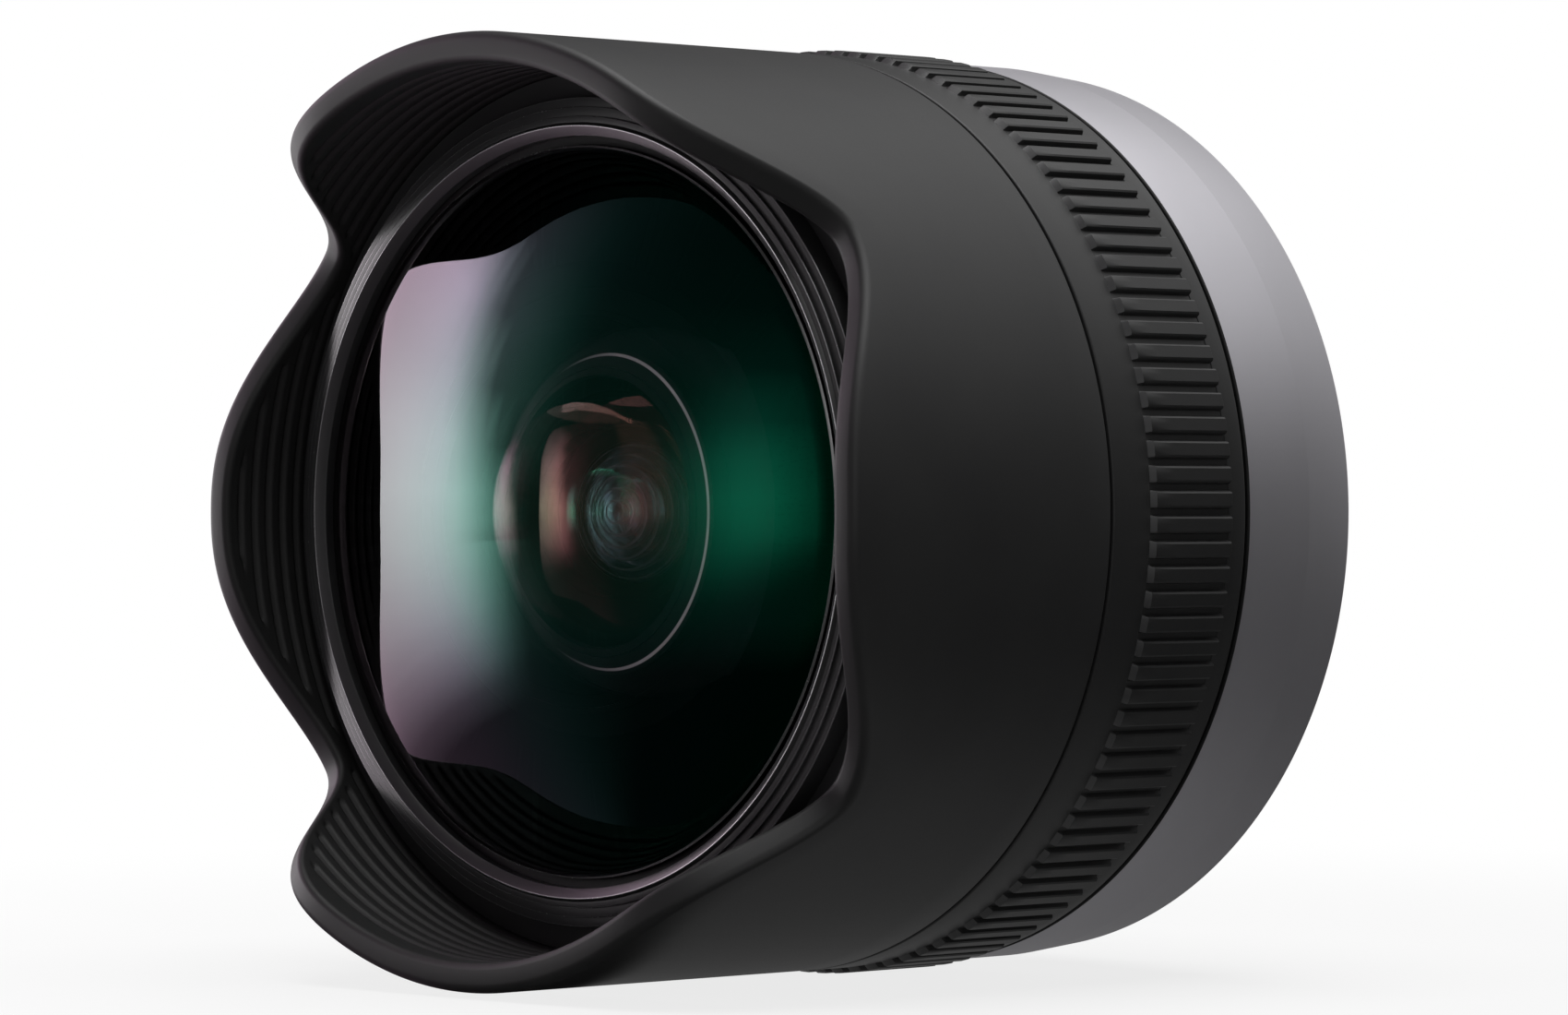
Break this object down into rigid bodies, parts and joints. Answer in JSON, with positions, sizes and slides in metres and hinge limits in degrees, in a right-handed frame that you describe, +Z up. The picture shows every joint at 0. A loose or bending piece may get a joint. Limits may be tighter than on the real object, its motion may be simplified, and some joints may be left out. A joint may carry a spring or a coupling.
{
  "type": "camera lens",
  "caption": "Fisheye camera lens with a fixed petal hood, a ribbed turning focus ring, a closing diaphragm and a bayonet mount.",
  "frame": {"origin": "centre of the bayonet flange's face, on the optical axis", "axes": "-Y along the optical axis to the front, +Y to the camera, +Z up, +X to the right seen from the camera's side opposite the front"},
  "size_m": [0.0606, 0.0559, 0.0606],
  "materials": {
    "satin_black": "satin black paint",
    "matt_black": "matt black anodised",
    "grip_black": "satin black anodised",
    "graphite": "satin graphite paint",
    "black_plastic": "moulded, matt",
    "coated_glass": "coated",
    "chrome": "satin chrome",
    "steel": "fine",
    "dark_steel": "blackened",
    "brass": "machined",
    "gold_contact": "gold plated",
    "red_dot": "gloss",
    "board_green": "solder resist",
    "chip_black": "matt",
    "ribbon_amber": "film",
    "slide_white": "low-friction plastic"
  },
  "bodies": {
    "root": {"front_barrel": "satin_black", "front_bezel": "matt_black", "rear_barrel": "graphite", "index_dot": "red_dot", "fixed_tube": "black_plastic", "drag_ring": "slide_white", "ring_sensors": "chip_black", "front_cell": "matt_black", "front_element": "coated_glass", "second_element": "coated_glass", "third_element": "coated_glass", "light_baffle": "black_plastic", "front_retaining_ring": "matt_black", "second_retaining_ring": "matt_black", "front_screws": "steel", "guide_rod_main": "steel", "guide_rod_second": "steel", "motor_bracket": "steel", "focus_motor": "steel", "aperture_base": "black_plastic", "aperture_cover": "black_plastic", "aperture_screws": "steel", "aperture_motor": "steel", "rear_cell": "matt_black", "rear_cell_screws": "steel", "fifth_element": "coated_glass", "sixth_element": "coated_glass", "seventh_element": "coated_glass", "eighth_element": "coated_glass", "ninth_element": "coated_glass", "tenth_element": "coated_glass", "rear_retaining_ring": "matt_black", "gel_filter_frame": "black_plastic", "mount_plate": "chrome", "mount_screws": "steel", "rear_light_shield": "black_plastic", "contact_block": "black_plastic", "contact_pins": "gold_contact", "circuit_board": "board_green", "board_chips": "chip_black", "flex_ribbon": "ribbon_amber"},
    "focus_ring": {"focus_sleeve": "satin_black", "focus_grip": "grip_black", "encoder_comb": "black_plastic"},
    "focus_carriage": {"focus_carriage": "black_plastic", "focus_element": "coated_glass", "focus_nut": "brass"},
    "lead_screw": {"lead_screw": "steel"},
    "aperture_cam_ring": {"aperture_cam_ring": "black_plastic"},
    "aperture_pinion": {"aperture_pinion": "brass"},
    "aperture_blade_1": {"aperture_blade_1": "dark_steel"},
    "aperture_blade_2": {"aperture_blade_2": "dark_steel"},
    "aperture_blade_3": {"aperture_blade_3": "dark_steel"},
    "aperture_blade_4": {"aperture_blade_4": "dark_steel"},
    "aperture_blade_5": {"aperture_blade_5": "dark_steel"},
    "aperture_blade_6": {"aperture_blade_6": "dark_steel"},
    "aperture_blade_7": {"aperture_blade_7": "dark_steel"}
  },
  "joints": [
    {"name": "focus_ring_turn", "type": "hinge", "parent": "root", "child": "focus_ring", "pos_m": [0, -0.018, 0], "axis": [0, -1, 0], "continuous": true},
    {"name": "lead_screw_spin", "type": "hinge", "parent": "root", "child": "lead_screw", "pos_m": [0, -0.018, 0.0195], "axis": [0, -1, 0], "range_deg": [0, 1440]},
    {"name": "focus_carriage_slide", "type": "slide", "parent": "root", "child": "focus_carriage", "axis": [0, -1, 0], "range_m": [0, 0.002]},
    {"name": "aperture_cam_turn", "type": "hinge", "parent": "root", "child": "aperture_cam_ring", "pos_m": [0, -0.02, 0], "axis": [0, 1, 0], "range_deg": [0, 30]},
    {"name": "aperture_pinion_spin", "type": "hinge", "parent": "root", "child": "aperture_pinion", "pos_m": [-0.01555, -0.02, -0.00566], "axis": [0, -1, 0], "range_deg": [0, 300]},
    {"name": "aperture_blade_1_swing", "type": "hinge", "parent": "root", "child": "aperture_blade_1", "pos_m": [0.01, -0.0185, 0], "axis": [0, -1, 0], "range_deg": [0, 18]},
    {"name": "aperture_blade_2_swing", "type": "hinge", "parent": "root", "child": "aperture_blade_2", "pos_m": [0.00624, -0.0185, 0.00782], "axis": [0, -1, 0], "range_deg": [0, 18]},
    {"name": "aperture_blade_3_swing", "type": "hinge", "parent": "root", "child": "aperture_blade_3", "pos_m": [-0.00222, -0.0185, 0.00975], "axis": [0, -1, 0], "range_deg": [0, 18]},
    {"name": "aperture_blade_4_swing", "type": "hinge", "parent": "root", "child": "aperture_blade_4", "pos_m": [-0.00901, -0.0185, 0.00434], "axis": [0, -1, 0], "range_deg": [0, 18]},
    {"name": "aperture_blade_5_swing", "type": "hinge", "parent": "root", "child": "aperture_blade_5", "pos_m": [-0.00901, -0.0185, -0.00434], "axis": [0, -1, 0], "range_deg": [0, 18]},
    {"name": "aperture_blade_6_swing", "type": "hinge", "parent": "root", "child": "aperture_blade_6", "pos_m": [-0.00222, -0.0185, -0.00975], "axis": [0, -1, 0], "range_deg": [0, 18]},
    {"name": "aperture_blade_7_swing", "type": "hinge", "parent": "root", "child": "aperture_blade_7", "pos_m": [0.00624, -0.0185, -0.00782], "axis": [0, -1, 0], "range_deg": [0, 18]}
  ],
  "couplings": [
    {"joint": "lead_screw_spin", "follows": "focus_carriage_slide", "rad_per_m": 12566},
    {"joint": "aperture_pinion_spin", "follows": "aperture_cam_turn", "ratio": 10},
    {"joint": "aperture_blade_1_swing", "follows": "aperture_cam_turn", "ratio": 0.6},
    {"joint": "aperture_blade_2_swing", "follows": "aperture_cam_turn", "ratio": 0.6},
    {"joint": "aperture_blade_3_swing", "follows": "aperture_cam_turn", "ratio": 0.6},
    {"joint": "aperture_blade_4_swing", "follows": "aperture_cam_turn", "ratio": 0.6},
    {"joint": "aperture_blade_5_swing", "follows": "aperture_cam_turn", "ratio": 0.6},
    {"joint": "aperture_blade_6_swing", "follows": "aperture_cam_turn", "ratio": 0.6},
    {"joint": "aperture_blade_7_swing", "follows": "aperture_cam_turn", "ratio": 0.6}
  ]
}
